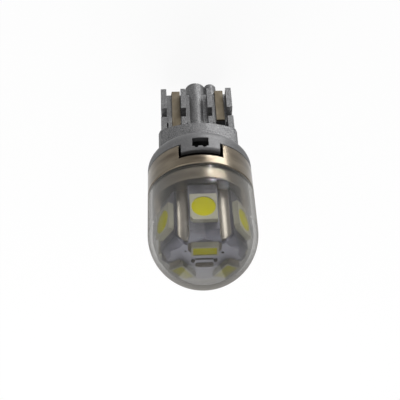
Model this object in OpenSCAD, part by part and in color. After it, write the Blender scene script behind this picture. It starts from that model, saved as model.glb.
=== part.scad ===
// Wedge base LED bulb with a clear domed lens and nine surface-mount LEDs.
// The origin is the middle of the blade's free end. Z runs from there up to the tip
// of the lens, X runs across the flat of the wedge, and -Y is the front.

/* [Wedge blade] */
// Width across the outer ribs
wedge_w = 9.4; // [9:0.1:9.8]
// Thickness of the blade between the contacts
blade_t = 2.1; // [1.9:0.1:2.3]
// Length of the blade from its free end to the neck
wedge_l = 7.8; // [7.4:0.1:8.6]
// Depth of the ribs, front to back
rib_depth = 4.84; // [4.4:0.02:5.2]
// Width of each outer rib
outer_rib_w = 0.75; // [0.6:0.05:0.9]
// Width of each inner rib
inner_rib_w = 0.64; // [0.5:0.02:0.7]
// Distance from the centre line to the middle of an inner rib
inner_rib_x = 1.74; // [1.7:0.02:1.84]
// Radius of the rounded rib ends, seen from the side
rib_end_r = 0.35; // [0.2:0.05:0.6]
// Radius of the rounded rib ends, seen from the front
rib_side_r = 0.22; // [0.1:0.02:0.24]
// Distance from the blade end to the notch across each rib
rib_notch_z = 3.9; // [3.4:0.1:4.4]
// Length of the notch across each rib
rib_notch_l = 1.6; // [1.2:0.1:2]
// How far the notch goes into the blade
rib_notch_d = 0.3; // [0.1:0.05:0.4]
// Width of the slits beside the ribs
rib_slit_w = 0.18; // [0.12:0.02:0.24]
// How far the slits go into the blade
rib_slit_d = 0.45; // [0.3:0.05:0.6]

/* [Barrel] */
// Diameter of the round barrel down the middle of the wedge
barrel_d = 2.74; // [2.5:0.02:2.8]
// How far the barrel stands past the end of the blade
barrel_overhang = 2.15; // [1.4:0.05:2.4]
// Diameter of the small domed pip on the end of the blade
pip_d = 1.68; // [1.4:0.02:1.7]
// Distance from the centre line to the middle of the pip
pip_x = 2.02; // [2:0.02:2.1]
// How far the pip stands past the end of the blade
pip_overhang = 2.8; // [2.4:0.05:3]

/* [Contacts] */
// Share of the channel between two ribs that the width of a contact strip takes
contact_share = 0.58; // [0.48:0.01:0.62]
// Thickness of a contact strip
contact_t = 0.3; // [0.2:0.05:0.4]
// Gap between the long leg of a contact strip and the inner rib
contact_in_gap = 0.1; // [0.06:0.01:0.14]
// Gap between the short leg of a contact strip and the outer rib
contact_out_gap = 0.28; // [0.2:0.01:0.3]
// Gap between the end of the blade and the strip that passes over it
contact_standoff = 0.3; // [0.1:0.05:0.4]
// Length of the short leg of a contact strip
contact_short_l = 5.15; // [4.6:0.05:5.4]
// Length of the pocket past the end of the short leg
contact_pocket_l = 1.9; // [1.4:0.1:2.2]
// Depth of that pocket in the blade
contact_pocket_d = 0.74; // [0.5:0.02:0.8]
// Distance from the housing floor down to the step of a contact strip
contact_step_z = 0.4; // [0.2:0.05:0.5]
// Length of the step of a contact strip in towards the driver board
contact_step_l = 1.2; // [1:0.05:1.4]
// Length of the solder tail of a contact strip inside the housing
contact_tail_l = 1.9; // [1.4:0.1:2.4]
// How far the pad beside each long leg lies below the faces of the ribs
pad_drop = 0.15; // [0.05:0.05:0.3]

/* [Neck and shoulder] */
// Width of the flattened neck
neck_w = 10.1; // [9.9:0.1:10.5]
// Depth of the flattened neck
neck_d = 6.95; // [6.4:0.05:7.4]
// Radius of the gently curved front and back of the neck
neck_face_r = 10; // [8:0.5:14]
// How far the rounded corners of the neck stand past half its width
neck_corner = 0.25; // [0.15:0.05:0.35]
// Height from the free face of the neck to the full width of the head
shoulder_h = 5.3; // [5.1:0.05:5.6]
// Radius of the round edge of the shoulder
shoulder_r = 1.55; // [1.2:0.05:1.8]
// Slope of the underside of the shoulder, in degrees
shoulder_slope = 30; // [22:1:40]
// Height of the straight skirt below the metal ring
skirt_h = 0.8; // [0.6:0.05:1.2]
// Thickness of the skirt and of the snap tabs
skirt_wall = 0.65; // [0.5:0.05:0.8]

/* [Snap tabs] */
// Width of a snap tab
tab_w = 4.65; // [4.2:0.05:5.2]
// How far a snap tab reaches past the skirt
tab_l = 1.2; // [1:0.05:1.5]
// Radius of the rounded end of a snap tab
tab_end_r = 0.35; // [0.2:0.05:0.4]
// Width of the window in a snap tab
window_w = 1.95; // [1.6:0.05:2.4]
// Height of the window in a snap tab
window_h = 1.3; // [1:0.05:1.5]
// Distance from the end of a snap tab to its window
window_end = 0.55; // [0.4:0.05:0.8]
// Gap beside a snap tab in its notch
tab_side_gap = 0.3; // [0.1:0.02:0.3]
// Gap past the end of a snap tab in its notch
tab_end_gap = 0.95; // [0.6:0.05:1.2]

/* [Head] */
// Outside diameter of the skirt, the metal ring and the lens
head_d = 13; // [12.8:0.1:14]
// Height of the metal ring
ring_h = 3.35; // [3.1:0.05:4]
// Height of the spigot that the lens slides over
spigot_h = 1.85; // [1.4:0.05:2.1]
// Wall of the core round the driver board
core_wall = 0.8; // [0.6:0.05:1]
// Length of the core that goes into the housing
core_insert_l = 1.5; // [1.2:0.05:1.5]
// Thickness of the core floor between the driver board and the LED column
core_floor = 1; // [0.8:0.1:1.4]
// Diameter of the wire passage up the LED column
passage_d = 3; // [2.8:0.1:3.6]
// Wall of the lens
lens_wall = 0.55; // [0.5:0.05:0.8]
// Height of the straight side of the lens
lens_side_h = 5.6; // [5.4:0.1:6.5]
// Edge chamfer on the ring and on the lens rim
edge_chamfer = 0.12; // [0.06:0.02:0.2]

/* [LED board] */
// Thickness of the folded LED board
board_t = 0.35; // [0.25:0.05:0.5]
// Width of each of the six side petals
petal_w = 3.6; // [3.4:0.05:3.7]
// Gap between the free end of a petal and the spigot
petal_gap = 0.15; // [0.05:0.05:0.6]
// Height and depth of the folded edge between a petal and the end plate
fold = 0.95; // [0.6:0.05:1.1]
// Diameter of the flutes up the corners of the LED column
flute_d = 1.7; // [1.4:0.05:1.8]
// How far the flute centres lie inside the corners of the board
flute_inset = 0.38; // [0.3:0.02:0.5]

/* [LEDs] */
// Width of a side LED
side_led_w = 3; // [2.8:0.1:3.2]
// Length of a side LED, up the bulb
side_led_l = 3.5; // [3:0.1:3.6]
// Height of a side LED off its board
side_led_h = 0.65; // [0.5:0.05:0.8]
// Diameter of the round phosphor of a side LED
side_phosphor_d = 2.68; // [2.3:0.02:2.7]
// Height of the middle of a side LED above the foot of the dome
side_led_rise = 0; // [-0.2:0.05:0.3]
// Length of an end LED
end_led_l = 3; // [2.8:0.1:3.2]
// Width of an end LED
end_led_w = 1.7; // [1.3:0.1:1.9]
// Height of an end LED
end_led_h = 0.7; // [0.5:0.05:0.8]
// Distance from the edge of the end plate to an end LED
end_led_margin = 0.05; // [0.05:0.05:0.5]
// Rim of an LED body round its phosphor
led_rim = 0.2; // [0.15:0.01:0.25]
// Depth of the phosphor in an LED body
phosphor_h = 0.3; // [0.2:0.05:0.4]
// Width of the solder fillet at each end of an end LED
solder_w = 0.35; // [0.2:0.05:0.4]

/* [Driver board] */
// Gap between an edge of the driver board and the bore of the core
driver_edge_gap = 0.9; // [0.8:0.05:1.2]
// Thickness of the driver board
driver_t = 0.8; // [0.6:0.1:1]
// Depth of the housing floor below the metal ring
driver_pocket_l = 4.55; // [4.25:0.1:4.65]
// Depth of the housing pocket, front to back
driver_pocket_d = 4.4; // [4:0.1:4.6]
// Height of the packages at the top of the driver board
package_l = 3.2; // [2.8:0.1:3.4]
// Thickness of the bridge rectifier
rectifier_t = 1.3; // [1:0.1:1.5]
// Thickness of the driver circuit's regulator
regulator_t = 1.4; // [1:0.1:1.5]
// Thickness of the input capacitor
capacitor_t = 1.1; // [0.8:0.1:1.4]
// Thickness of a ballast resistor
resistor_t = 0.6; // [0.4:0.1:0.8]
// Gap between the packages, and between them and the ends of the driver board
package_gap = 0.3; // [0.2:0.05:0.4]
// Diameter of a feed wire
feed_wire_d = 0.5; // [0.4:0.05:0.6]
// Distance from the centre line to a feed wire
feed_wire_x = 0.55; // [0.45:0.05:0.65]
// Length of a feed wire that is soldered along the driver board
feed_solder_l = 1.2; // [0.8:0.1:1.5]

/* [Fits] */
// Running clearance between pieces that slide together
fit = 0.05; // [0.02:0.01:0.08]
// Gap between the bridge rectifier and the solder tail of each contact
tail_gap = 0.16; // [0.1:0.02:0.3]
// Gap between the lens and the nearest corner of a side LED
led_gap = 0.14; // [0.06:0.01:0.2]
// Gap between the dome of the lens and the nearest corner on the end plate
dome_gap = 0.06; // [0.06:0.01:0.2]

/* [Hidden] */
$fn = 64;

// How far one shape runs into another, how far a cut runs on past an open face, and
// how far the blade, ribs and barrel run on into the neck
eps = 0.01;
past = 1;
root_l = 0.2;

petals = 6;
end_leds = 3;

// Levels along the axis, from the free end of the blade upwards
neck_z = wedge_l;
root_z = neck_z + root_l;
skirt_z = neck_z + shoulder_h;
ring_z = skirt_z + skirt_h;
lens_z = ring_z + ring_h;
column_z = lens_z + spigot_h;
dome_z = lens_z + lens_side_h;

// Radii of the head
head_r = head_d / 2;
lens_in_r = head_r - lens_wall;
spigot_r = lens_in_r - fit;
skirt_in_r = head_r - skirt_wall;
core_insert_r = skirt_in_r - fit;
core_bore_r = core_insert_r - core_wall;

// The LED board lies as far out as the upper corners of its LEDs allow inside the dome
side_led_z = dome_z + side_led_rise;
side_led_reach = sqrt(pow(lens_in_r, 2) - pow(side_led_rise + side_led_l / 2, 2)) - led_gap;
board_apothem = sqrt(pow(side_led_reach, 2) - pow(side_led_w / 2, 2)) - side_led_h;
board_in = board_apothem - board_t;
petal_corner_r = sqrt(pow(board_apothem, 2) + pow(petal_w / 2, 2));
end_led_r = board_apothem - fold - end_led_margin - end_led_w / 2;
end_led_corner_r = sqrt(pow(end_led_r + end_led_w / 2, 2) + pow(end_led_l / 2, 2));
dome_clear_r = lens_in_r - dome_gap;
plate_z = dome_z + min(
    sqrt(pow(dome_clear_r, 2) - pow(petal_corner_r, 2)) + fold,
    sqrt(pow(dome_clear_r, 2) - pow(end_led_corner_r, 2)) - end_led_h
);
column_top = plate_z - board_t;
fold_inset = board_t * tan(22.5);
fold_z = plate_z - fold;
petal_end_z = column_z + petal_gap;
flute_r = board_apothem / cos(180 / petals) - flute_inset;

// Point where the sloping underside of the shoulder runs into its round edge
edge_in_r = head_r - shoulder_r * (1 - sin(shoulder_slope));
edge_in_z = skirt_z - shoulder_r * cos(shoulder_slope);

// Snap tabs, their windows and the notches that take them
tab_z = ring_z + tab_l;
window_z = tab_z - window_end - window_h;
notch_w = tab_w + 2 * tab_side_gap;
notch_z = tab_z + tab_end_gap;

// Contacts and the driver board inside the housing
pocket_z = ring_z - driver_pocket_l;
core_z = ring_z - core_insert_l;
core_floor_z = lens_z - core_floor;
driver_top = core_floor_z - fit;
contact_face = blade_t / 2;
channel_in = inner_rib_x + inner_rib_w / 2;
channel_out = wedge_w / 2 - outer_rib_w;
contact_w = contact_share * (channel_out - channel_in);
long_x = channel_in + contact_in_gap + contact_w / 2;
short_x = channel_out - contact_out_gap - contact_w / 2;
joggle_z = pocket_z - contact_step_z;
driver_w = 2 * (sqrt(pow(core_bore_r, 2) - pow(driver_t / 2, 2)) - driver_edge_gap);

// Electronic packages, as width, height up the board and thickness
regulator = [driver_w * 0.48, package_l, regulator_t];
chip_size = [driver_w * 0.19, package_l, resistor_t];
capacitor_size = [driver_w * 0.19, package_l, capacitor_t];
chip_x = driver_w * 0.37;

// The rectifier lies between the contact tails and below the capacitor
rectifier = [
    2 * (long_x - contact_w / 2 - tail_gap),
    driver_top - capacitor_size[1] - pocket_z - 3 * package_gap,
    rectifier_t
];

module upright(w) {
    // Turns an outline drawn in Y and Z into a plate of width w across X
    translate([-w / 2, 0, 0])
        rotate([90, 0, 90])
            linear_extrude(w)
                children();
}

module rib_outline() {
    half = rib_depth / 2;
    for (side = [-1, 1])
        translate([side * (half - rib_end_r), rib_end_r])
            circle(rib_end_r);
    translate([-half + rib_end_r, 0])
        square([rib_depth - 2 * rib_end_r, rib_end_r + eps]);
    translate([-half, rib_end_r])
        square([rib_depth, root_z - rib_end_r]);
}

module rib_front(w) {
    // Front outline of a rib w wide, with both corners of its free end rounded
    for (side = [-1, 1])
        translate([side * (w / 2 - rib_side_r), rib_side_r])
            circle(rib_side_r);
    translate([rib_side_r - w / 2, 0])
        square([w - 2 * rib_side_r, rib_side_r + eps]);
    translate([-w / 2, rib_side_r])
        square([w, wedge_l]);
}

module rib(x, w) {
    translate([x, 0, 0])
        intersection() {
            upright(2 * w)
                rib_outline();
            rotate([90, 0, 0])
                linear_extrude(2 * rib_depth, center = true)
                    rib_front(w);
        }
}

module rib_notches() {
    // Catch notch across each rib, cut on into the blade
    notch_in = blade_t / 2 - rib_notch_d;
    for (turn = [0, 180], side = [-1, 1], rib = [
        [inner_rib_x - inner_rib_w / 2, inner_rib_w],
        [wedge_w / 2 - outer_rib_w, outer_rib_w + eps]
    ])
        rotate(turn)
            mirror([side < 0 ? 1 : 0, 0, 0])
                translate([rib[0], -rib_depth / 2 - eps, rib_notch_z])
                    cube([rib[1], rib_depth / 2 - notch_in + eps, rib_notch_l]);
}

module ribs() {
    for (side = [-1, 1]) {
        rib(side * (wedge_w - outer_rib_w) / 2, outer_rib_w);
        rib(side * inner_rib_x, inner_rib_w);
    }
}

module blade() {
    translate([-wedge_w / 2, -blade_t / 2, 0])
        cube([wedge_w, blade_t, root_z]);
}

module barrel() {
    edge = barrel_d * 0.06;
    rotate_extrude()
        polygon([
            [0, -barrel_overhang], [barrel_d / 2 - edge, -barrel_overhang],
            [barrel_d / 2, -barrel_overhang + edge], [barrel_d / 2, root_z], [0, root_z]
        ]);
}

module pip() {
    // Domed pip beside the barrel
    cap_r = pip_d * 0.55;
    cap_h = cap_r - sqrt(pow(cap_r, 2) - pow(pip_d / 2, 2));
    translate([-pip_x, 0, -pip_overhang])
        intersection() {
            translate([0, 0, cap_r])
                sphere(cap_r);
            cylinder(d = pip_d, h = 2 * cap_h);
        }
    translate([-pip_x, 0, -pip_overhang + cap_h])
        cylinder(d = pip_d, h = pip_overhang - cap_h + blade_t / 2);
}

module gusset_pads() {
    // Raised pad beside the long leg of each contact, next to the neck
    pad_z = rib_notch_z + rib_notch_l;
    pad_in = long_x + contact_w / 2 + fit;
    pad_out = wedge_w / 2 - outer_rib_w - rib_slit_w;
    pad_y = rib_depth / 2 - pad_drop;
    for (turn = [0, 180])
        rotate(turn)
            translate([pad_in, -pad_y, pad_z])
                cube([pad_out - pad_in, pad_y, root_z - pad_z]);
}

module neck_outline() {
    centre = neck_face_r - neck_d / 2;
    intersection() {
        translate([0, centre])
            circle(neck_face_r);
        translate([0, -centre])
            circle(neck_face_r);
        circle(neck_w / 2 + neck_corner);
        square([neck_w, neck_d + past], center = true);
    }
}

module shoulder_outline() {
    // Half section of the shoulder and skirt: sloping underside, round edge, straight skirt
    polygon([
        [0, edge_in_z - edge_in_r * tan(shoulder_slope)], [edge_in_r, edge_in_z],
        [head_r, skirt_z], [head_r, ring_z], [0, ring_z]
    ]);
    intersection() {
        translate([head_r - shoulder_r, skirt_z])
            circle(shoulder_r);
        translate([head_r - shoulder_r, skirt_z - shoulder_r])
            square(shoulder_r);
    }
}

module shoulder() {
    // Flattened neck that runs up into a round, turned shoulder
    translate([0, 0, neck_z])
        linear_extrude(shoulder_h - shoulder_r / 2)
            neck_outline();
    rotate_extrude()
        shoulder_outline();
}

module front_and_back(w) {
    // Keeps the front and back slices, w wide, of a turned shape on the head
    intersection() {
        children();
        translate([-w / 2, -head_d, neck_z])
            cube([w, 2 * head_d, lens_z - neck_z]);
    }
}

module snap_tabs() {
    foot_z = ring_z - skirt_h / 2;
    front_and_back(tab_w)
        rotate_extrude() {
            translate([skirt_in_r, foot_z])
                square([skirt_wall, tab_z - tab_end_r - foot_z]);
            translate([skirt_in_r, foot_z])
                square([skirt_wall - tab_end_r, tab_z - foot_z]);
            translate([head_r - tab_end_r, tab_z - tab_end_r])
                circle(tab_end_r);
        }
}

module tab_windows() {
    // The lower edge of each window has a shallow wave
    wave_r = window_w / 8;
    for (turn = [0, 180])
        rotate(turn)
            translate([0, -head_r - eps, 0])
                rotate([90, 0, 0])
                    mirror([0, 0, 1])
                        linear_extrude(skirt_wall + past) {
                            translate([-window_w / 2, window_z])
                                square([window_w, window_h]);
                            for (x = [-1, 1])
                                translate([x * window_w / 4, window_z + window_h])
                                    circle(wave_r);
                        }
}

module contact_slots() {
    // Slots that lead the long legs up through the neck, and pockets for the short ends
    slot_w = contact_w + 2 * fit;
    slot_d = contact_t + 2 * fit;
    for (turn = [0, 180])
        rotate(turn) {
            translate([long_x - slot_w / 2, -contact_face - contact_t - fit, neck_z - eps])
                cube([slot_w, slot_d, pocket_z - neck_z + 2 * eps]);
            translate([long_x - slot_w / 2, -contact_face - contact_t - fit, joggle_z - fit])
                cube([slot_w, contact_face + contact_t - driver_t / 2, pocket_z - joggle_z + past]);
            translate([-short_x - slot_w / 2, -contact_face - eps, contact_short_l])
                cube([slot_w, contact_pocket_d, contact_pocket_l]);
        }
}

module bridge_relief() {
    // Slot across the pip for the contact strip that turns over the blade end beside it
    half = contact_w / 2 + fit;
    depth = contact_standoff + contact_t + fit;
    rotate(180)
        translate([0, 0, -depth])
            linear_extrude(depth)
                polygon([
                    [long_x - half, -contact_face], [long_x + half, -contact_face],
                    [short_x + half, contact_face], [short_x - half, contact_face]
                ]);
}

module rib_slits() {
    // The slits run on a little way into the notches
    slit_z = rib_notch_z + rib_notch_l - rib_slit_w;
    slit_d = (rib_depth - blade_t) / 2 + rib_slit_d;
    for (turn = [0, 180], side = [-1, 1], edge = [-1, 1])
        rotate(turn)
            translate([side * inner_rib_x + edge * (inner_rib_w + rib_slit_w) / 2, -rib_depth / 2, 0])
                translate([-rib_slit_w / 2, -eps, slit_z])
                    cube([rib_slit_w, slit_d, neck_z - slit_z]);
    for (turn = [0, 180], side = [-1, 1])
        rotate(turn)
            translate([side * (wedge_w / 2 - outer_rib_w - rib_slit_w / 2), -rib_depth / 2, 0])
                translate([-rib_slit_w / 2, -eps, slit_z])
                    cube([rib_slit_w, slit_d, neck_z - slit_z]);
}

module base_housing() {
    color("#7b7c7e")
        difference() {
            union() {
                blade();
                ribs();
                barrel();
                pip();
                gusset_pads();
                shoulder();
                snap_tabs();
            }
            rib_notches();
            rib_slits();
            bridge_relief();
            contact_slots();
            tab_windows();
            translate([-driver_w / 2 - fit, -driver_pocket_d / 2, pocket_z])
                cube([driver_w + 2 * fit, driver_pocket_d, ring_z - pocket_z + eps]);
            translate([0, 0, core_z - fit])
                cylinder(r = skirt_in_r, h = ring_z - core_z + fit + eps);
        }
}

module contact_strip() {
    // One strip bent round the blade end: the long leg lies on the front face
    // and steps in to the driver board, the short leg lies on the back face.
    y0 = contact_face;
    y1 = contact_face + contact_t;
    board_y = driver_t / 2 + fit;
    tail_z = joggle_z + contact_step_l;
    half = contact_w / 2;
    bend_z = -contact_standoff;
    color("#8d8471") {
        translate([long_x, 0, 0])
            upright(contact_w) {
                polygon([
                    [-y1, bend_z], [-y1, joggle_z], [-board_y - contact_t, tail_z],
                    [-board_y - contact_t, tail_z + contact_tail_l],
                    [-board_y, tail_z + contact_tail_l], [-board_y, tail_z],
                    [-y0, joggle_z], [-y0, bend_z]
                ]);
                contact_bend(-y0, bend_z);
            }
        translate([short_x, 0, 0])
            upright(contact_w) {
                translate([y0, bend_z])
                    square([contact_t, contact_short_l - bend_z]);
                contact_bend(y0, bend_z);
            }
        translate([0, 0, bend_z - contact_t])
            linear_extrude(contact_t)
                polygon([
                    [long_x - half, -y0 - eps], [long_x + half, -y0 - eps],
                    [short_x + half, y0 + eps], [short_x - half, y0 + eps]
                ]);
    }
}

module contact_bend(y, z) {
    // Quarter round of the strip where it turns over the end of the blade
    intersection() {
        translate([y, z])
            circle(contact_t);
        translate([y < 0 ? y - contact_t : y, z - contact_t])
            square([contact_t, contact_t + eps]);
    }
}

module contact_left() {
    contact_strip();
}

module contact_right() {
    rotate(180)
        contact_strip();
}

module column_outline() {
    // Across two opposite flats, with the top edges sloped under the fold of the board
    slope_z = fold_z - fold_inset;
    slope_y = board_apothem - fold - fold_inset;
    polygon([
        [-board_in, column_z - eps], [board_in, column_z - eps],
        [board_in, slope_z], [slope_y, column_top], [-slope_y, column_top], [-board_in, slope_z]
    ]);
}

module fluted_column() {
    difference() {
        intersection_for(k = [0 : 2])
            rotate(k * 60)
                upright(head_d)
                    column_outline();
        flutes(flute_d / 2, column_z, column_top);
    }
}

module flutes(r, low, high) {
    for (k = [0 : petals - 1])
        rotate(k * 360 / petals + 180 / petals)
            translate([0, -flute_r, low])
                cylinder(r = r, h = high - low + past);
}

module heat_sink_core() {
    color("#a89d88")
        difference() {
            union() {
                rotate_extrude()
                    polygon([
                        [0, core_z], [core_insert_r - edge_chamfer, core_z],
                        [core_insert_r, core_z + edge_chamfer], [core_insert_r, ring_z],
                        [head_r - edge_chamfer, ring_z], [head_r, ring_z + edge_chamfer],
                        [head_r, lens_z - edge_chamfer], [head_r - edge_chamfer, lens_z],
                        [spigot_r, lens_z], [spigot_r, column_z - edge_chamfer],
                        [spigot_r - edge_chamfer, column_z], [0, column_z]
                    ]);
                fluted_column();
            }
            front_and_back(notch_w)
                rotate_extrude()
                    translate([core_insert_r, ring_z - eps])
                        square([head_r, notch_z - ring_z + eps]);
            translate([-window_w / 2 - fit, -head_r, core_z - eps])
                cube([window_w + 2 * fit, head_d, window_z + window_h + fit - core_z]);
            translate([0, 0, core_z - eps])
                cylinder(r = core_bore_r, h = core_floor_z - core_z + eps);
            translate([0, 0, core_z])
                cylinder(d = passage_d, h = column_top - core_z + past);
        }
}

module clear_lens() {
    color("#d8dbe0", 0.35)
        rotate_extrude() {
            difference() {
                union() {
                    intersection() {
                        translate([0, dome_z])
                            circle(head_r);
                        translate([0, dome_z])
                            square([head_r, head_r]);
                    }
                    polygon([
                        [lens_in_r - eps, lens_z], [head_r - edge_chamfer, lens_z],
                        [head_r, lens_z + edge_chamfer], [head_r, dome_z], [lens_in_r - eps, dome_z]
                    ]);
                }
                translate([0, dome_z])
                    circle(lens_in_r);
                translate([-eps, lens_z - past])
                    square([lens_in_r + eps, lens_side_h + past]);
            }
        }
}

module petal_outline() {
    // Section through one petal, from the middle of the end plate to the petal's free end
    polygon([
        [0, plate_z], [board_apothem - fold, plate_z], [board_apothem, fold_z],
        [board_apothem, petal_end_z], [board_in, petal_end_z],
        [board_in, fold_z - fold_inset],
        [board_apothem - fold - fold_inset, column_top], [0, column_top]
    ]);
}

module led_board() {
    color("#9c9db0")
        difference() {
            union() {
                for (k = [0 : petals - 1])
                    rotate(k * 360 / petals - 90)
                        translate([0, petal_w / 2, 0])
                            rotate([90, 0, 0])
                                linear_extrude(petal_w)
                                    petal_outline();
                translate([0, 0, column_top])
                    rotate(180 / petals)
                        cylinder(r = (board_apothem - fold) / cos(180 / petals), h = board_t, $fn = petals);
            }
            flutes(flute_d / 2 + fit, column_z, plate_z);
        }
}

module on_petal(k) {
    // Moves a shape drawn at the front, with its face along -Y, onto petal k
    rotate((k - 1) * 360 / petals)
        translate([0, -board_apothem, side_led_z])
            rotate([90, 0, 0])
                children();
}

module side_led(k) {
    // Oblong body with one clipped corner and a round recess for the phosphor
    half = side_led_w / 2;
    end = side_led_l / 2;
    clip = side_led_w * 0.12;
    color("#dcdad2")
        on_petal(k)
            difference() {
                linear_extrude(side_led_h)
                    polygon([
                        [-half, -end], [half, -end], [half, end - clip],
                        [half - clip, end], [-half, end]
                    ]);
                translate([0, 0, side_led_h - phosphor_h])
                    cylinder(d = side_phosphor_d, h = phosphor_h + past);
            }
}

module side_phosphor(k) {
    color("#c9c41e")
        on_petal(k)
            translate([0, 0, side_led_h - phosphor_h])
                cylinder(d = side_phosphor_d, h = phosphor_h - fit);
}

module on_end_plate(k) {
    rotate((k - 1) * 360 / end_leds)
        translate([0, -end_led_r, plate_z])
            children();
}

module end_led(k) {
    color("#d6d4ca")
        on_end_plate(k)
            difference() {
                translate([-end_led_l / 2, -end_led_w / 2, 0])
                    cube([end_led_l, end_led_w, end_led_h]);
                translate([-end_led_l / 2 + led_rim, -end_led_w / 2 + led_rim, end_led_h - phosphor_h])
                    cube([end_led_l - 2 * led_rim, end_led_w - 2 * led_rim, phosphor_h + past]);
            }
}

module end_phosphor(k) {
    color("#bdb63a")
        on_end_plate(k)
            translate([-end_led_l / 2 + led_rim, -end_led_w / 2 + led_rim, end_led_h - phosphor_h])
                cube([end_led_l - 2 * led_rim, end_led_w - 2 * led_rim, phosphor_h - fit]);
}

module end_led_solder() {
    // Sloping solder fillets at both ends of each end LED
    length = end_led_w - 2 * led_rim;
    color("#8a8072")
        for (k = [1 : end_leds], side = [0, 180])
            on_end_plate(k)
                rotate(side)
                    translate([end_led_l / 2, length / 2, 0])
                        rotate([90, 0, 0])
                            linear_extrude(length)
                                polygon([
                                    [0, 0], [solder_w, 0], [solder_w, 0.06], [0, end_led_h / 2]
                                ]);
}

module driver_board() {
    color("#3f6b4a")
        translate([-driver_w / 2, -driver_t / 2, pocket_z])
            cube([driver_w, driver_t, driver_top - pocket_z]);
}

module on_driver(x, z, size, side) {
    // A package on the front (-1) or back (1) face of the driver board
    translate([x - size[0] / 2, side < 0 ? -driver_t / 2 - size[2] : driver_t / 2, z])
        cube([size[0], size[2], size[1]]);
}

module bridge_rectifier() {
    color("#2b2b2d")
        on_driver(0, pocket_z + package_gap, rectifier, -1);
}

module driver_ic() {
    color("#29292b")
        on_driver(0, driver_top - package_gap - regulator[1], regulator, 1);
}

module input_capacitor() {
    color("#a98c6a")
        on_driver(-chip_x, driver_top - package_gap - capacitor_size[1], capacitor_size, -1);
}

module ballast_resistor_1() {
    color("#303236")
        on_driver(chip_x, driver_top - package_gap - chip_size[1], chip_size, 1);
}

module ballast_resistor_2() {
    color("#303236")
        on_driver(-chip_x, driver_top - package_gap - chip_size[1], chip_size, 1);
}

module feed_wire(side) {
    color("#b5653c")
        translate([
            side * feed_wire_x, -driver_t / 2 - feed_wire_d / 2 - fit, driver_top - feed_solder_l
        ])
            cylinder(d = feed_wire_d, h = column_top - driver_top + feed_solder_l);
}

module feed_wire_plus() {
    feed_wire(-1);
}

module feed_wire_minus() {
    feed_wire(1);
}

base_housing();
contact_left();
contact_right();
heat_sink_core();
clear_lens();
led_board();
side_led(1);  // side_led_1
side_led(2);  // side_led_2
side_led(3);  // side_led_3
side_led(4);  // side_led_4
side_led(5);  // side_led_5
side_led(6);  // side_led_6
side_phosphor(1);  // side_phosphor_1
side_phosphor(2);  // side_phosphor_2
side_phosphor(3);  // side_phosphor_3
side_phosphor(4);  // side_phosphor_4
side_phosphor(5);  // side_phosphor_5
side_phosphor(6);  // side_phosphor_6
end_led(1);  // end_led_1
end_led(2);  // end_led_2
end_led(3);  // end_led_3
end_phosphor(1);  // end_phosphor_1
end_phosphor(2);  // end_phosphor_2
end_phosphor(3);  // end_phosphor_3
end_led_solder();
driver_board();
bridge_rectifier();
driver_ic();
input_capacitor();
ballast_resistor_1();
ballast_resistor_2();
feed_wire_plus();
feed_wire_minus();
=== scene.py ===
"""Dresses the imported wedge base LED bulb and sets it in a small, plain studio."""

import logging
import math
from dataclasses import dataclass, field
from enum import Enum
from typing import Any, Dict, List, Optional, Tuple, Union

import bpy
from mathutils import Matrix, Vector


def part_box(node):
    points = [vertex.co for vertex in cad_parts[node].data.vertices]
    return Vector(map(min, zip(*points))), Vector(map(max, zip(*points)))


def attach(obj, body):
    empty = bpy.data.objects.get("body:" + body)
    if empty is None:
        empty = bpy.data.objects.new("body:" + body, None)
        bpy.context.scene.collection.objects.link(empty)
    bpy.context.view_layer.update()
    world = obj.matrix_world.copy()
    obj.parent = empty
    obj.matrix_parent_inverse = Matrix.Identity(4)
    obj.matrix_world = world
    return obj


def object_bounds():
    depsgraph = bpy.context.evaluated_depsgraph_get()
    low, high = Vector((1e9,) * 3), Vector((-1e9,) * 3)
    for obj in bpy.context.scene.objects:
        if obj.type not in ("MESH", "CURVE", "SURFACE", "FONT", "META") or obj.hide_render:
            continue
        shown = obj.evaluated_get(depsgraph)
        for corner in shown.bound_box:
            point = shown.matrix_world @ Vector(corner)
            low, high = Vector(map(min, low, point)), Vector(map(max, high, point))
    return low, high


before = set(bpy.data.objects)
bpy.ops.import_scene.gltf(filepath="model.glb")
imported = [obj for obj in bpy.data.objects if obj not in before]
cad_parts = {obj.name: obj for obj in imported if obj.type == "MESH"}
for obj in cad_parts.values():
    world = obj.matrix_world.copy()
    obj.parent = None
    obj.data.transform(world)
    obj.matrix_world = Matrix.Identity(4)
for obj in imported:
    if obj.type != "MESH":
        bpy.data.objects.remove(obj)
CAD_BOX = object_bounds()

log = logging.getLogger("bulb")

MM = 0.001
SMOOTH_BELOW_DEG = 40.0
EDGE_SAMPLES = 6

Colour = Tuple[float, float, float]
Point = Tuple[float, float, float]
Stops = Tuple[Tuple[float, float], ...]


class Shading(Enum):
    """What a node tree shades, with the node that ends it."""

    SURFACE = "ShaderNodeOutputMaterial"
    SKY = "ShaderNodeOutputWorld"


class Lay(Enum):
    """Direction of a pattern, as its scale along each axis."""

    EVEN = (1.0, 1.0, 1.0)
    ROUND_AXIS = (0.02, 0.02, 1.0)
    DRAWN_ROUND = (0.4, 0.4, 1.4)
    ALONG_AXIS = (1.0, 1.0, 0.05)


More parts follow.
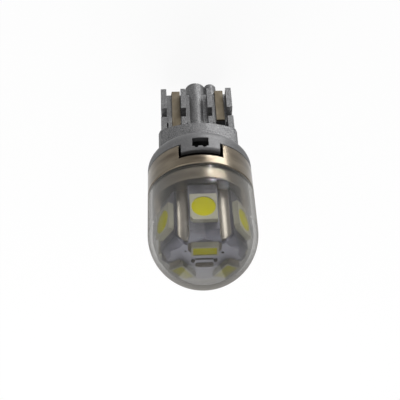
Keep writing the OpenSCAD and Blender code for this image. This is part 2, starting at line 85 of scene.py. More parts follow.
class Pin:
    """An output socket that takes part in Python arithmetic.

    Each operator adds one Math node to the material that the socket belongs to.
    """

    def __init__(self, bench: "Bench", socket: bpy.types.NodeSocket) -> None:
        """Wraps a socket.

        Args:
            bench: The bench that adds nodes.
            socket: The output socket.
        """
        self.bench = bench
        self.socket = socket

    def _math(self, operation: str, left: Any, right: Any) -> "Pin":
        """Adds a Math node.

        Args:
            operation: The node's operation.
            left: The first value or pin.
            right: The second value or pin.

        Returns:
            The node's result.
        """
        return self.bench.add(
            "ShaderNodeMath", {"operation": operation}, {0: left, 1: right}
        )

    def __add__(self, other: Any) -> "Pin":
        """Returns this pin plus another value."""
        return self._math("ADD", self, other)

    def __radd__(self, other: Any) -> "Pin":
        """Returns another value plus this pin."""
        return self._math("ADD", other, self)

    def __sub__(self, other: Any) -> "Pin":
        """Returns this pin minus another value."""
        return self._math("SUBTRACT", self, other)

    def __mul__(self, other: Any) -> "Pin":
        """Returns this pin times another value."""
        return self._math("MULTIPLY", self, other)

    def __rmul__(self, other: Any) -> "Pin":
        """Returns another value times this pin."""
        return self._math("MULTIPLY", other, self)

    def __pow__(self, other: Any) -> "Pin":
        """Returns this pin raised to a power."""
        return self._math("POWER", self, other)


class Bench:
    """Builds the node tree of one material, or of the world."""

    def __init__(self, name: str, shading: Shading = Shading.SURFACE) -> None:
        """Makes an empty material or world.

        Args:
            name: Its name.
            shading: Whether it shades a surface or the sky.
        """
        surface = shading is Shading.SURFACE
        self.shading = shading
        self.made = (bpy.data.materials if surface else bpy.data.worlds).new(name)
        self.made.use_nodes = True
        self.tree = self.made.node_tree
        self.tree.nodes.clear()

    def add(
        self,
        kind: str,
        settings: Optional[Dict[str, Any]] = None,
        inputs: Optional[Dict[Any, Any]] = None,
        output: Union[int, str] = 0,
    ) -> Pin:
        """Adds a node and gives one of its outputs.

        Args:
            kind: The node's type.
            settings: Properties of the node. A ramp's stops go in as "stops".
            inputs: Values or pins, by socket name or index.
            output: The name or index of the output that is wanted.

        Returns:
            The output, wrapped.
        """
        node = self.tree.nodes.new(kind)
        for key, value in (settings or {}).items():
            if key == "stops":
                self._stops(node, value)
            else:
                setattr(node, key, value)
        for key, value in (inputs or {}).items():
            socket = node.inputs[key]
            if isinstance(value, Pin):
                self.tree.links.new(value.socket, socket)
            elif isinstance(socket.default_value, (int, float)):
                socket.default_value = value
            else:
                size = len(socket.default_value)
                socket.default_value = (tuple(value) + (1.0,))[:size]
        return Pin(self, node.outputs[output])

    @staticmethod
    def _stops(node: bpy.types.Node, stops: Stops) -> None:
        """Sets the stops of a colour ramp.

        Args:
            node: The ramp node.
            stops: Position and grey value of each stop.
        """
        ramp = node.color_ramp
        for element, (place, grey) in zip(ramp.elements, stops):
            element.position = place
            element.color = (grey, grey, grey, 1.0)

    def place(self) -> Pin:
        """Returns the surface point in object coordinates, in metres."""
        return self.add("ShaderNodeTexCoord", output="Object")

    def axis_mm(self, name: str) -> Pin:
        """Returns the surface point's X, Y or Z in millimetres."""
        metres = self.add("ShaderNodeSeparateXYZ", {}, {0: self.place()}, name)
        return metres * (1.0 / MM)

    def radius_mm(self) -> Pin:
        """Returns the surface point's distance from the bulb's axis in millimetres."""
        return (self.axis_mm("X") ** 2.0 + self.axis_mm("Y") ** 2.0) ** 0.5

    def fade(
        self, value: Pin, start: float, stop: float, first: float, last: float
    ) -> Pin:
        """Passes from one value to another over a range, and stays level outside it.

        Args:
            value: The pin that is followed.
            start: Where the change starts.
            stop: Where it ends.
            first: The value at the start.
            last: The value at the end.

        Returns:
            The faded value.
        """
        inputs = {
            "Value": value,
            "From Min": start,
            "From Max": stop,
            "To Min": first,
            "To Max": last,
        }
        return self.add("ShaderNodeMapRange", {}, inputs)

    def ray(self, test: str) -> Pin:
        """Returns 1 for the kind of ray that a Light Path output names."""
        return self.add("ShaderNodeLightPath", output=test)

    def noise(self, per_mm: float, detail: float = 2.0, lay: Lay = Lay.EVEN) -> Pin:
        """Adds a noise pattern.

        Args:
            per_mm: Cells per millimetre.
            detail: Octaves of finer noise.
            lay: The pattern's direction.

        Returns:
            The noise value from 0 to 1.
        """
        mapped = self.add(
            "ShaderNodeMapping", {}, {"Vector": self.place(), "Scale": lay.value}
        )
        return self.add(
            "ShaderNodeTexNoise",
            {},
            {"Vector": mapped, "Scale": per_mm / MM, "Detail": detail},
        )

    def ramp(self, value: Pin, stops: Stops) -> Pin:
        """Passes a value through a ramp.

        Args:
            value: The value.
            stops: Position and grey value of each of the two stops.

        Returns:
            The ramp's result.
        """
        return self.add("ShaderNodeValToRGB", {"stops": stops}, {"Fac": value})

    def blend(
        self, factor: Pin, first: Union[Colour, Pin], second: Union[Colour, Pin]
    ) -> Pin:
        """Mixes two colours.

        Args:
            factor: How much of the second colour shows.
            first: The first colour or pin.
            second: The second colour or pin.

        Returns:
            The mixed colour.
        """
        node = self.tree.nodes.new("ShaderNodeMix")
        node.data_type = "RGBA"
        colours = [s for s in node.inputs if s.type == "RGBA"]
        for socket, value in zip([node.inputs[0]] + colours, (factor, first, second)):
            if isinstance(value, Pin):
                self.tree.links.new(value.socket, socket)
            else:
                socket.default_value = (*value, 1.0)
        return Pin(self, [s for s in node.outputs if s.type == "RGBA"][0])

    def mix(self, factor: Pin, first: Pin, second: Pin) -> Pin:
        """Mixes two shaders.

        Args:
            factor: How much of the second shader shows.
            first: The first shader.
            second: The second shader.

        Returns:
            The mixed shader.
        """
        return self.add("ShaderNodeMixShader", {}, {0: factor, 1: first, 2: second})

    def bump(self, height: Pin, depth_um: float, rounded_mm: float) -> Pin:
        """Adds a bump over softened edges.

        Args:
            height: The height from 0 to 1.
            depth_um: The full height in micrometres.
            rounded_mm: Radius that softens sharp edges in shading.

        Returns:
            The shading normal.
        """
        inputs = {
            "Height": height,
            "Distance": depth_um * MM * MM,
            "Strength": 1.0,
            "Normal": self.rounded(rounded_mm),
        }
        return self.add("ShaderNodeBump", {}, inputs)

    def rounded(self, radius_mm: float) -> Pin:
        """Softens sharp edges in shading.

        Args:
            radius_mm: The radius in millimetres.

        Returns:
            The softened normal.
        """
        return self.add(
            "ShaderNodeBevel",
            {"samples": EDGE_SAMPLES},
            {"Radius": radius_mm * MM},
            "Normal",
        )

    def principled(self, inputs: Dict[str, Any]) -> Pin:
        """Adds a Principled shader with the given inputs."""
        return self.add("ShaderNodeBsdfPrincipled", {}, inputs)

    def finish(self, shader: Pin) -> bpy.types.ID:
        """Connects the shader and gives the material or world.

        Args:
            shader: The shader.

        Returns:
            The material or world.
        """
        out = self.tree.nodes.new(self.shading.value)
        self.tree.links.new(shader.socket, out.inputs["Surface"])
        return self.made


@dataclass(frozen=True)
class GrainedPlastic:
    """Silver-grey moulding with a fine sparkle in it.

    Attributes:
        name: The material's name.
        dark: Colour between the flakes.
        light: Colour of the flakes.
        fine_per_mm: Cells of the sparkle in a millimetre.
        broad_per_mm: Cells of the slow clouds in a millimetre.
        middle: Value about which the grain swings.
        flake_stops: Ramp from the grain to the flakes.
        cloud_share: How much the clouds darken.
        swing: How much the clouds roughen and the flakes smooth.
        coarse_mm: Height below which the grain is at full strength.
        smooth_mm: Height above which it is at its faintest.
        faintest: How strong it is there.
        roughness: Middle roughness.
        metal: How metallic the flakes look.
        gloss: Specular level of the plastic round them.
        depth_um: Depth of the grain.
        edge_mm: Radius of the softened edges.
    """

    name: str
    dark: Colour
    light: Colour
    fine_per_mm: float = 7.5
    broad_per_mm: float = 0.9
    middle: float = 0.5
    flake_stops: Stops = ((0.3, 0.0), (0.75, 1.0))
    cloud_share: float = 0.25
    swing: float = 0.1
    coarse_mm: float = 9.0
    smooth_mm: float = 12.0
    faintest: float = 0.3
    roughness: float = 0.46
    metal: float = 0.5
    gloss: float = 0.2
    depth_um: float = 9.0
    edge_mm: float = 0.06

    def build(self) -> bpy.types.Material:
        """Returns the node material."""
        b = Bench(self.name)
        fine = b.noise(self.fine_per_mm, detail=1.0)
        broad = b.noise(self.broad_per_mm, detail=3.0)
        strength = b.fade(
            b.axis_mm("Z"), self.coarse_mm, self.smooth_mm, 1.0, self.faintest
        )
        grain = self.middle + (fine - self.middle) * strength
        flakes = b.ramp(grain, self.flake_stops)
        tone = b.blend(flakes, self.dark, self.light)
        shade = b.blend(broad * self.cloud_share, tone, self.dark)
        rough = self.roughness + self.swing * broad - self.swing * flakes
        return b.finish(
            b.principled(
                {
                    "Base Color": shade,
                    "Metallic": self.metal,
                    "Roughness": rough,
                    "Specular IOR Level": self.gloss,
                    "Normal": b.bump(grain, self.depth_um, self.edge_mm),
                }
            )
        )


@dataclass(frozen=True)
class StampedStrip:
    """Dull plated strip with scratches along its length.

    Attributes:
        name: The material's name.
        base: Colour of the plating.
        worn: Colour where it is rubbed.
        roughness: Middle roughness.
        lines_per_mm: Scratches in a millimetre.
        patches_per_mm: Cells of the rubbed patches in a millimetre.
        patch_stops: Ramp from the patches to the worn colour.
        line_rough: How much the scratches roughen.
        patch_smooth: How much the patches smooth.
        depth_um: Depth of the scratches.
        edge_mm: Radius of the softened edges.
    """

    name: str
    base: Colour
    worn: Colour
    roughness: float = 0.56
    lines_per_mm: float = 9.0
    patches_per_mm: float = 1.1
    patch_stops: Stops = ((0.4, 0.0), (0.7, 1.0))
    line_rough: float = 0.2
    patch_smooth: float = 0.1
    depth_um: float = 4.0
    edge_mm: float = 0.04

    def build(self) -> bpy.types.Material:
        """Returns the node material."""
        b = Bench(self.name)
        lines = b.noise(self.lines_per_mm, 3.0, Lay.ALONG_AXIS)
        patches = b.noise(self.patches_per_mm, 3.0)
        tone = b.blend(b.ramp(patches, self.patch_stops), self.base, self.worn)
        rough = (
            self.roughness + self.line_rough * lines - self.patch_smooth * patches
        )
        return b.finish(
            b.principled(
                {
                    "Base Color": tone,
                    "Metallic": 1.0,
                    "Roughness": rough,
                    "Normal": b.bump(lines, self.depth_um, self.edge_mm),
                }
            )
        )


@dataclass(frozen=True)
class TurnedMetal:
    """Metal that is turned on its ring and spigot, and fluted lengthwise on its column.

    Attributes:
        name: The material's name.
        base: Colour of the turned metal.
        deep: Colour of its darker patches.
        bare: Colour of the fluted column.
        painted_shade: Painted shade on the insert deep in the notches, where their shadow
            falls.
        column_mm: Height at which the column starts.
        insert_mm: Radius of the insert in the housing.
        painted_shade_mm: How far past that radius the painted shade starts and stops
            fading.
        ring_top_mm: Height at which the ring ends.
        soft_mm: Height over which one finish passes into the next.
        turned_per_mm: Turning marks in a millimetre.
        drawn_per_mm: Lengthwise marks in a millimetre.
        cloud_per_mm: Cells of the patches in a millimetre.
        cloud_share: How much the cloud decides where the patches lie.
        turned_share: How much the turning marks decide it.
        patch_stops: Ramp from there to the darker colour.
        roughness: Middle roughness.
        mark_rough: How much the marks roughen.
        column_rough: How much rougher the column is.
        depth_um: Depth of the marks.
        edge_mm: Radius of the softened edges.
    """

    name: str
    base: Colour
    deep: Colour
    bare: Colour
    painted_shade: Colour
    column_mm: float = 19.1
    insert_mm: float = 5.8
    painted_shade_mm: Tuple[float, float] = (0.05, 0.35)
    ring_top_mm: float = 17.2
    soft_mm: float = 0.1
    turned_per_mm: float = 16.0
    drawn_per_mm: float = 12.0
    cloud_per_mm: float = 0.55
    cloud_share: float = 0.8
    turned_share: float = 0.2
    patch_stops: Stops = ((0.38, 0.0), (0.68, 1.0))
    roughness: float = 0.17
    mark_rough: float = 0.14
    column_rough: float = 0.12
    depth_um: float = 0.7
    edge_mm: float = 0.08

    def build(self) -> bpy.types.Material:
        """Returns the node material."""
        b = Bench(self.name)
        height = b.axis_mm("Z")
        column = b.fade(
            height, self.column_mm, self.column_mm + self.soft_mm, 0.0, 1.0
        )
        turned = b.noise(self.turned_per_mm, 2.0, Lay.ROUND_AXIS)
        drawn = b.noise(self.drawn_per_mm, 2.0, Lay.ALONG_AXIS)
        marks = turned + (drawn - turned) * column
        cloud = b.noise(self.cloud_per_mm, 2.0, Lay.DRAWN_ROUND)
        spread = cloud * self.cloud_share + turned * self.turned_share
        ring = b.blend(b.ramp(spread, self.patch_stops), self.base, self.deep)
        # Painted shade: inside that radius and below the ring's top, the insert is painted
        # near black.
        near, far = (self.insert_mm + past for past in self.painted_shade_mm)
        deep = b.fade(b.radius_mm(), near, far, 1.0, 0.0)
        under = b.fade(
            height, self.ring_top_mm - self.soft_mm, self.ring_top_mm, 1.0, 0.0
        )
        tone = b.blend(column, b.blend(deep * under, ring, self.painted_shade), self.bare)
        rough = self.roughness + self.mark_rough * marks + self.column_rough * column
        return b.finish(
            b.principled(
                {
                    "Base Color": tone,
                    "Metallic": 1.0,
                    "Roughness": rough,
                    "Normal": b.bump(marks, self.depth_um, self.edge_mm),
                }
            )
        )


@dataclass(frozen=True)
class ClearMoulding:
    """Clear plastic with a slight haze, which is deeper edge-on and round the tip; edge-on
    it carries a painted reflection of darker surroundings.

    Attributes:
        name: The material's name.
        tint: Colour of the plastic, seen head-on.
        painted_dark_reflection: Painted reflection of darker surroundings, the colour
            where the wall is seen edge-on.
        haze_colour: Colour of the haze.
        haze: Share of light that the haze scatters head-on.
        haze_rough: Roughness of the haze.
        rim_haze: Share that is added where the wall is seen edge-on; beyond real haze, its
            grey there is painted reflection of darker surroundings.
        rim_power: How closely the haze keeps to the rim.
        tint_power: How closely the painted dark reflection keeps to the rim.
        tip_haze: Share that is added at the tip of the dome.
        tip_tint: Share of the painted dark reflection's colour that is added there, which
            darkens the tip.
        tip_from_mm: Height at which both shares start.
        tip_mm: Height of the tip.
        waves_per_mm: Waves of the moulded skin in a millimetre.
        polish: Roughness of the skin at its smoothest.
        wave_rough: How much the waves roughen it.
        ior: Index of refraction, which is kept low so that the skin reflects little.
        facing_blend: Blend of the Layer Weight node, even at 0.5.
        shadow_tint: Share of each colour that shadow rays let through.
    """

    name: str
    tint: Colour
    painted_dark_reflection: Colour
    haze_colour: Colour
    haze: float = 0.004
    haze_rough: float = 0.6
    rim_haze: float = 0.95
    rim_power: float = 2.5
    tint_power: float = 1.25
    tip_haze: float = 0.2
    tip_tint: float = 0.46
    tip_from_mm: float = 25.5
    tip_mm: float = 29.3
    waves_per_mm: float = 0.45
    polish: float = 0.015
    wave_rough: float = 0.02
    ior: float = 1.3
    facing_blend: float = 0.5
    shadow_tint: Colour = (0.95, 0.95, 0.94)

    def build(self) -> bpy.types.Material:
        """Returns the node material."""
        b = Bench(self.name)
        waves = b.noise(self.waves_per_mm, detail=1.0)
        facing = b.add(
            "ShaderNodeLayerWeight", {}, {"Blend": self.facing_blend}, "Facing"
        )
        tip = b.fade(b.axis_mm("Z"), self.tip_from_mm, self.tip_mm, 0.0, 1.0)
        # Painted reflection: the wall's colour darkens edge-on, and at the tip, towards
        # the dark colour.
        deep = facing**self.tint_power + self.tip_tint * tip
        glass = b.principled(
            {
                "Base Color": b.blend(deep, self.tint, self.painted_dark_reflection),
                "Roughness": self.polish + self.wave_rough * waves,
                "IOR": self.ior,
                "Transmission Weight": 1.0,
            }
        )
        film = b.principled(
            {
                "Base Color": self.haze_colour,
                "Roughness": self.haze_rough,
                "Specular IOR Level": 0.0,
            }
        )
        # Edge-on the grey haze thickens: partly real haze, partly painted reflection of
        # darker surroundings.
        rim = self.haze + self.rim_haze * facing**self.rim_power
        hazy = b.mix(rim + self.tip_haze * tip * tip, glass, film)
        clear = b.add("ShaderNodeBsdfTransparent", {}, {"Color": self.shadow_tint})
        return b.finish(b.mix(b.ray("Is Shadow Ray"), hazy, clear))


@dataclass(frozen=True)
class BoardCoat:
    """Solder mask over metal, with faint tracks under it, and painted light on the end
    plate where plate is set.

    Attributes:
        name: The material's name.
        base: Colour of the mask.
        track: Colour where copper lies under it.
        roughness: Middle roughness.
        metal: How metallic it looks.
        gloss: Specular level of the mask.
        plate: Share of painted light on the end plate, which is painted lighter than the
            petals because of how light falls there.
        plate_painted_light: Colour of the end plate with that painted light.
        plate_mm: Heights between which it sets in, at the fold.
        plate_least: Least of it that the clouds leave.
        plate_swing: How much more the clouds add.
        cloud_per_mm: Cells of the tracks and clouds in a millimetre.
        track_stops: Ramp from the clouds to the tracks.
        grain_per_mm: Grain cells in a millimetre.
        grain_rough: How much the grain roughens.
        depth_um: Depth of the grain.
        edge_mm: Radius of the softened edges.
    """

    name: str
    base: Colour
    track: Colour
    roughness: float = 0.34
    metal: float = 0.3
    gloss: float = 0.3
    plate: float = 0.0
    plate_painted_light: Colour = (0.2, 0.2, 0.245)
    plate_mm: Tuple[float, float] = (25.6, 26.3)
    plate_least: float = 0.6
    plate_swing: float = 0.8
    cloud_per_mm: float = 0.8
    track_stops: Stops = ((0.45, 0.0), (0.6, 1.0))
    grain_per_mm: float = 14.0
    grain_rough: float = 0.12
    depth_um: float = 1.5
    edge_mm: float = 0.05

    def build(self) -> bpy.types.Material:
        """Returns the node material."""
        b = Bench(self.name)
        cloud = b.noise(self.cloud_per_mm, detail=3.0)
        grain = b.noise(self.grain_per_mm)
        petal = b.blend(b.ramp(cloud, self.track_stops), self.base, self.track)
        # Painted light: above the fold the end plate turns lighter, patchy through the
        # clouds.
        end = b.fade(b.axis_mm("Z"), *self.plate_mm, 0.0, self.plate)
        share = end * (self.plate_least + self.plate_swing * cloud)
        tone = b.blend(share, petal, self.plate_painted_light)
        return b.finish(
            b.principled(
                {
                    "Base Color": tone,
                    "Metallic": self.metal,
                    "Roughness": self.roughness + self.grain_rough * grain,
                    "Specular IOR Level": self.gloss,
                    "Normal": b.bump(grain, self.depth_um, self.edge_mm),
                }
            )
        )


@dataclass(frozen=True)
class FinePiece:
    """Small moulded, ceramic or metal piece with a light grain.

    Attributes:
        name: The material's name.
        base: Main colour.
        second: Colour of the mottling.
        roughness: Middle roughness.
        metal: Metallic value.
        gloss: Specular level.
        grain_per_mm: Grain cells in a millimetre.
        mottle_stops: Ramp from the grain to the mottling.
        grain_rough: How much the grain roughens.
        depth_um: Depth of the grain.
        edge_mm: Radius of the softened edges.
    """

    name: str
    base: Colour
    second: Colour
    roughness: float = 0.5
    metal: float = 0.0
    gloss: float = 0.3
    grain_per_mm: float = 10.0
    mottle_stops: Stops = ((0.3, 0.0), (0.7, 1.0))
    grain_rough: float = 0.12
    depth_um: float = 3.0
    edge_mm: float = 0.03

    def build(self) -> bpy.types.Material:
        """Returns the node material."""
        b = Bench(self.name)
        grain = b.noise(self.grain_per_mm)
        tone = b.blend(b.ramp(grain, self.mottle_stops), self.base, self.second)
        return b.finish(
            b.principled(
                {
                    "Base Color": tone,
                    "Metallic": self.metal,
                    "Roughness": self.roughness + self.grain_rough * grain,
                    "Specular IOR Level": self.gloss,
                    "Normal": b.bump(grain, self.depth_um, self.edge_mm),
                }
            )
        )


def modelled(name: str, material: bpy.types.Material) -> None:
    """Finishes the active piece: applied place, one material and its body.

    Args:
        name: The piece's name.
        material: The material.
    """
    piece = bpy.context.object
    bpy.ops.object.transform_apply(location=True, rotation=True, scale=True)
    bpy.ops.object.shade_smooth_by_angle(angle=math.radians(SMOOTH_BELOW_DEG))
    piece.name = name
    piece.data.materials.append(material)
    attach(piece, "root")
    log.info("%s is modelled", name)


def dress(node: str, material: bpy.types.Material) -> None:
    """Gives a CAD node its material.

    Args:
        node: The node's name.
        material: The material.
    """
    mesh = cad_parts[node].data
    mesh.materials.clear()
    mesh.materials.append(material)
    log.info("%s wears %s", node, material.name)


@dataclass
class Housing:
    """The moulded base with its contact strips.

    Attributes:
        moulding: Finish of the housing.
        strip: Finish of the contacts.
    """

    moulding: GrainedPlastic = GrainedPlastic(
        "silver_moulding", dark=(0.052, 0.052, 0.053), light=(0.215, 0.215, 0.218)
    )
    strip: StampedStrip = StampedStrip(
        "contact_plating", base=(0.112, 0.094, 0.067), worn=(0.136, 0.117, 0.088)
    )

    def build(self) -> None:
        """Dresses the housing and both contacts."""
        dress("base_housing", self.moulding.build())
        strip = self.strip.build()
        for side in ("left", "right"):
            dress("contact_" + side, strip)


@dataclass
class Head:
    """The heat sink core and the lens over it.

    Attributes:
        metal: Finish of the core.
        clear: Finish of the lens.
    """

    metal: TurnedMetal = TurnedMetal(
        "turned_core",
        base=(0.178, 0.152, 0.116),
        deep=(0.085, 0.069, 0.05),
        # Near black: painted shade on the insert deep in the notches.
        bare=(0.23, 0.21, 0.183),
        painted_shade=(0.012, 0.01, 0.008),
    )
    clear: ClearMoulding = ClearMoulding(
        "clear_moulding",
        tint=(0.94, 0.94, 0.93),
        # Near black edge-on: painted reflection of darker surroundings.
        painted_dark_reflection=(0.05, 0.046, 0.038),
        haze_colour=(0.165, 0.156, 0.14),
    )

    def build(self) -> None:
        """Dresses the core and the lens."""
        dress("heat_sink_core", self.metal.build())
        dress("clear_lens", self.clear.build())


@dataclass
class Lights:
    """The folded board with its side and end LEDs.

    Attributes:
        coat: Finish of the board.
        body: Finish of the LED bodies.
        gel: Finish of the phosphor.
        fillet: Finish of the solder.
        side_count: Number of LEDs round the column.
        end_count: Number of LEDs on the end plate.
    """

    # The end plate carries its full painted light.
    coat: BoardCoat = BoardCoat(
        "board_coat", base=(0.062, 0.06, 0.074), track=(0.095, 0.093, 0.112), plate=1.0
    )
    body: FinePiece = FinePiece("led_body", (0.27, 0.26, 0.2), (0.23, 0.22, 0.17))
    gel: FinePiece = FinePiece(
        "phosphor_gel",
        (0.34, 0.32, 0.0),
        (0.31, 0.29, 0.0),
        roughness=0.6,
        gloss=0.0,
        grain_per_mm=16.0,
        depth_um=5.0,
    )
    fillet: FinePiece = FinePiece(
        "solder_fillet",
        (0.3, 0.27, 0.22),
        (0.16, 0.14, 0.12),
        roughness=0.25,
        metal=1.0,
    )
    side_count: int = 6
    end_count: int = 3

    def build(self) -> None:
        """Dresses the board, the LEDs and the solder."""
        dress("led_board", self.coat.build())
        body, gel = self.body.build(), self.gel.build()
        for group, count in (("side", self.side_count), ("end", self.end_count)):
            for index in range(1, count + 1):
                dress(f"{group}_led_{index}", body)
                dress(f"{group}_phosphor_{index}", gel)
        dress("end_led_solder", self.fillet.build())


@dataclass(frozen=True)
class Joint:
    """One solder joint: a dome that is cut off at the board.

    Attributes:
        place_mm: The middle of its foot, across the plate.
        radius_mm: Its radius at the foot.
        height_mm: Its height.
        around: Faces round the dome.
        rings: Rings of faces on the whole ball.
        cut_within_mm: Distance from the cut within which a point counts as on it.
    """

    place_mm: Tuple[float, float]
    radius_mm: float
    height_mm: float
    around: int = 24
    rings: int = 12
    cut_within_mm: float = 0.001

    def model(self, plate: float) -> None:
        """Models the joint.

        Args:
            plate: Height of the end plate's face, in metres.
        """
        x, y = self.place_mm
        foot = Vector((x * MM, y * MM, plate))
        radius, height = self.radius_mm * MM, self.height_mm * MM
        bpy.ops.object.select_all(action="DESELECT")
        bpy.ops.mesh.primitive_uv_sphere_add(
            segments=self.around, ring_count=self.rings, radius=radius, location=foot
        )
        bpy.ops.object.transform_apply(location=True, rotation=True, scale=True)
        bpy.ops.object.mode_set(mode="EDIT")
        bpy.ops.mesh.select_all(action="SELECT")
        bpy.ops.mesh.bisect(
            plane_co=foot,
            plane_no=(0.0, 0.0, 1.0),
            clear_inner=True,
            threshold=self.cut_within_mm * MM,
        )
        bpy.ops.mesh.select_all(action="DESELECT")
        bpy.ops.mesh.select_non_manifold()
        bpy.ops.mesh.edge_face_add()
        bpy.ops.mesh.select_all(action="SELECT")
        bpy.ops.mesh.normals_make_consistent(inside=False)
        bpy.ops.transform.resize(
            value=(1.0, 1.0, height / radius), center_override=foot
        )
        bpy.ops.object.mode_set(mode="OBJECT")


@dataclass(frozen=True)
class Slab:
    """A thin slab with rounded corners and edges.

    Attributes:
        place_mm: The middle of its underside, across the plate.
        size_mm: Its length, width and thickness.
        corner_share: Corner radius as a share of the width.
        corner_steps: Steps round a corner.
        edge_share: Edge bevel as a share of the thickness.
        edge_steps: Steps over an edge.
        edge_from_deg: Angle above which an edge is bevelled.
    """

    place_mm: Tuple[float, float]
    size_mm: Point
    corner_share: float = 0.3
    corner_steps: int = 5
    edge_share: float = 0.4
    edge_steps: int = 2
    edge_from_deg: float = 50.0

    def model(self, plate: float) -> None:
        """Models the slab.

        Args:
            plate: Height of the end plate's face, in metres.
        """
        x, y = self.place_mm
        size = Vector(self.size_mm) * MM
        bpy.ops.object.select_all(action="DESELECT")
        bpy.ops.mesh.primitive_plane_add(
            size=1.0, location=Vector((x * MM, y * MM, plate))
        )
        slab = bpy.context.object
        slab.scale = (size.x, size.y, 1.0)
        bpy.ops.object.transform_apply(location=True, rotation=True, scale=True)
        bpy.ops.object.mode_set(mode="EDIT")
        bpy.ops.mesh.select_all(action="SELECT")
        bpy.ops.mesh.bevel(
            offset=size.y * self.corner_share,
            segments=self.corner_steps,
            affect="VERTICES",
        )
        bpy.ops.mesh.select_all(action="SELECT")
        bpy.ops.mesh.extrude_region_move(
            TRANSFORM_OT_translate={"value": (0.0, 0.0, size.z)}
        )
        bpy.ops.mesh.select_all(action="SELECT")
        bpy.ops.mesh.normals_make_consistent(inside=False)
        bpy.ops.object.mode_set(mode="OBJECT")
        bevel = slab.modifiers.new("rounded_edges", "BEVEL")
        bevel.width, bevel.segments = size.z * self.edge_share, self.edge_steps
        bevel.limit_method = "ANGLE"
        bevel.angle_limit = math.radians(self.edge_from_deg)
        bpy.ops.object.modifier_apply(modifier=bevel.name)


@dataclass
class PlateDetail:
    """Solder joints, a bare pad and a flux line on the end plate of the LED board.

    Attributes:
        joints: The solder joints.
        pad: The bare pad.
        terminal_shadow: The dark bar between the two larger joints: partly terminals,
            partly painted shadow at the LED's foot.
        tarnish_and_shade: Finish of the joints and the bar; on the bar its dark is painted
            shadow.
        copper: Finish of the bare pad.
    """

    joints: Tuple[Joint, ...] = (
        Joint((1.3, -0.15), 0.25, 0.3),
        Joint((-1.25, -0.2), 0.25, 0.3),
        Joint((-2.0, -1.6), 0.17, 0.1),
        Joint((2.12, -2.02), 0.12, 0.05),
    )
    pad: Slab = Slab((0.0, 0.77), (2.1, 0.88, 0.05))
    # Dark bar at the foot of the front end LED: partly its terminals, partly painted
    # shadow.
    terminal_shadow: Slab = Slab((0.02, -0.42), (2.0, 0.2, 0.08))
    # Near black: dark solder on the joints, and painted shadow on the bar.
    tarnish_and_shade: FinePiece = FinePiece(
        "tarnished_solder_and_painted_shadow",
        (0.014, 0.011, 0.009),
        (0.007, 0.005, 0.004),
        roughness=0.6,
        gloss=0.1,
    )
    copper: FinePiece = FinePiece(
        "bare_pad",
        (0.055, 0.041, 0.026),
        (0.034, 0.025, 0.016),
        roughness=0.55,
        gloss=0.15,
    )

    def build(self) -> None:
        """Models every small piece on the end plate."""
        plate = max(corner[2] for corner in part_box("led_board"))
        tarnish_and_shade, copper = self.tarnish_and_shade.build(), self.copper.build()
        for index, joint in enumerate(self.joints, 1):
            joint.model(plate)
            modelled(f"plate_joint_{index}", tarnish_and_shade)
        for name, slab, material in (
            ("bare_pad", self.pad, copper),
            ("terminal_shadow_bar", self.terminal_shadow, tarnish_and_shade),
        ):
            slab.model(plate)
            modelled(name, material)


@dataclass
class Driver:
    """The driver board inside the housing and the wires up the column.

    Attributes:
        laminate: Finish of the board.
        black: Finish of the moulded packages.
        tan: Finish of the ceramic capacitor.
        enamel: Finish of the wires.
    """

    laminate: BoardCoat = BoardCoat(
        "driver_laminate",
        base=(0.03, 0.12, 0.05),
        track=(0.05, 0.17, 0.07),
        roughness=0.35,
        metal=0.0,
    )
    black: FinePiece = FinePiece(
        "package_moulding", (0.02, 0.02, 0.021), (0.03, 0.03, 0.03), roughness=0.55
    )
    tan: FinePiece = FinePiece("ceramic_tan", (0.4, 0.26, 0.14), (0.33, 0.21, 0.11))
    enamel: FinePiece = FinePiece(
        "wire_enamel", (0.42, 0.13, 0.04), (0.34, 0.1, 0.03), roughness=0.3
    )

    def build(self) -> None:
        """Dresses the board, its packages and the wires."""
        dress("driver_board", self.laminate.build())
        packages = self.black.build()
        for node in (
            "bridge_rectifier",
            "driver_ic",
            "ballast_resistor_1",
            "ballast_resistor_2",
        ):
            dress(node, packages)
        dress("input_capacitor", self.tan.build())
        wires = self.enamel.build()
        for node in ("feed_wire_plus", "feed_wire_minus"):
            dress(node, wires)


@dataclass(frozen=True)
class SoftBox:
    """One soft lamp.

    Attributes:
        name: The lamp's name.
        place_mm: Where it stands.
        size_mm: Width and height of its face.
        watts: Its power.
        below: Whether it stands below the floor, which rays from gloss would hit first.
    """

    name: str
    place_mm: Point
    size_mm: Tuple[float, float]
    watts: float
    below: bool = False

    def build(self, aim: Vector) -> None:
        """Adds the lamp.

        Args:
            aim: The point that it faces.
        """
        data = bpy.data.lights.new(self.name, "AREA")
        data.shape = "RECTANGLE"
        data.size, data.size_y = (s * MM for s in self.size_mm)
        data.energy = self.watts
        data.cycles.use_multiple_importance_sampling = not self.below
        lamp = bpy.data.objects.new(self.name, data)
        bpy.context.scene.collection.objects.link(lamp)
        lamp.location = Vector(self.place_mm) * MM
        lamp.rotation_mode = "QUATERNION"
        lamp.rotation_quaternion = (aim - lamp.location).to_track_quat("-Z", "Y")


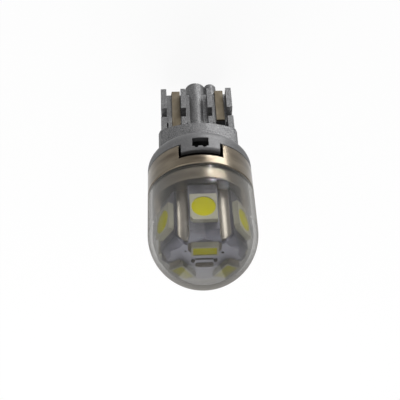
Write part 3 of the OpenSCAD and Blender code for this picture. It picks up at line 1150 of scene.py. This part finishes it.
@dataclass
class Studio:
    """Floor, world, lamps and the photograph's camera.

    Attributes:
        lens_mm: Focal length.
        sensor_mm: Width of the sensor.
        clip_m: Nearest and farthest distance that the camera sees.
        camera_mm: The camera's place.
        right: The camera's right, in the model's frame.
        up: The camera's up, in the model's frame.
        boxes: The soft lamps. The key stands below the floor, which lets it through.
        ambient: How much light the world gives to matt surfaces.
        background: Strength of the world and floor where they show.
        floor_m: Length of the floor's sides.
        floor_paint: Colour of the floor.
        floor_rough: Its roughness.
        floor_glow: Share of the floor's white that no shadow darkens.
    """

    lens_mm: float = 65.124
    sensor_mm: float = 36.0
    clip_m: Tuple[float, float] = (0.001, 5.0)
    camera_mm: Point = (3.1119, -68.7406, 73.0302)
    right: Point = (-0.99906, -0.00914, 0.04237)
    up: Point = (-0.02722, -0.62843, -0.77739)
    boxes: List[SoftBox] = field(
        default_factory=lambda: [
            SoftBox("key", (-60.0, -82.0, -96.0), (90.0, 90.0), 0.17, below=True),
            SoftBox("overhead", (4.0, 95.0, 128.0), (150.0, 150.0), 0.2),
            SoftBox("front", (60.0, -150.0, 90.0), (140.0, 140.0), 0.07),
        ]
    )
    ambient: float = 0.48
    background: float = 1.0
    floor_m: float = 3.0
    floor_paint: Colour = (0.9, 0.9, 0.9)
    floor_rough: float = 0.5
    floor_glow: float = 0.9

    def camera(self) -> None:
        """Adds the camera at the photograph's viewpoint."""
        data = bpy.data.cameras.new("photograph_view")
        data.lens = self.lens_mm
        data.sensor_width = self.sensor_mm
        data.clip_start, data.clip_end = self.clip_m
        camera = bpy.data.objects.new("photograph_view", data)
        bpy.context.scene.collection.objects.link(camera)
        right, up = Vector(self.right).normalized(), Vector(self.up)
        up = (up - right * up.dot(right)).normalized()
        back = right.cross(up)
        turn = Matrix((right, up, back)).transposed().to_4x4()
        camera.matrix_world = Matrix.Translation(Vector(self.camera_mm) * MM) @ turn
        bpy.context.scene.camera = camera

    @staticmethod
    def seen(b: Bench, other: float, seen: float) -> Pin:
        """Gives one value to rays that show the background, and another to the rest.

        The background shows to the camera, in gloss and through glass.

        Args:
            b: The bench of the floor or world.
            other: The value for all other rays.
            seen: The value for the rays that show the background.

        Returns:
            The value for the ray at hand.
        """
        camera_or_gloss = b.ray("Is Camera Ray") + b.ray("Is Glossy Ray")
        rays = camera_or_gloss + b.ray("Is Transmission Ray")
        return b.fade(rays, 0.0, 1.0, other, seen)

    def world(self) -> None:
        """Makes a plain world, white to the camera, in gloss and through glass."""
        b = Bench("plain_world", Shading.SKY)
        strength = self.seen(b, self.ambient, self.background)
        sky = {"Color": (1.0, 1.0, 1.0), "Strength": strength}
        bpy.context.scene.world = b.finish(b.add("ShaderNodeBackground", {}, sky))

    def floor(self) -> None:
        """Adds the pale floor at the bulb's lowest point."""
        bpy.ops.object.select_all(action="DESELECT")
        low = min(CAD_BOX[0][2], CAD_BOX[1][2])
        bpy.ops.mesh.primitive_plane_add(size=self.floor_m, location=(0.0, 0.0, low))
        floor = bpy.context.object
        floor.name = "floor"
        floor.visible_shadow = False
        b = Bench("pale_floor")
        matt = {"Color": self.floor_paint, "Roughness": self.floor_rough}
        paint = b.add("ShaderNodeBsdfDiffuse", {}, matt)
        white = {"Color": (1.0, 1.0, 1.0), "Strength": self.background}
        glow = b.add("ShaderNodeEmission", {}, white)
        share = self.seen(b, 0.0, self.floor_glow)
        floor.data.materials.append(b.finish(b.mix(share, paint, glow)))

    def build(self) -> None:
        """Adds everything that stands round the bulb."""
        aim = (Vector(CAD_BOX[0]) + Vector(CAD_BOX[1])) / 2
        for box in self.boxes:
            box.build(aim)
        self.world()
        self.floor()
        self.camera()
        log.info("studio stands")


def main() -> None:
    """Builds the studio and dresses the bulb, piece by piece."""
    logging.basicConfig(level=logging.INFO, format="%(name)s: %(message)s")
    bpy.context.scene.view_settings.view_transform = "Standard"
    for assembly in (Housing(), Head(), Lights(), PlateDetail(), Driver(), Studio()):
        assembly.build()


if __name__ == "__main__":
    main()
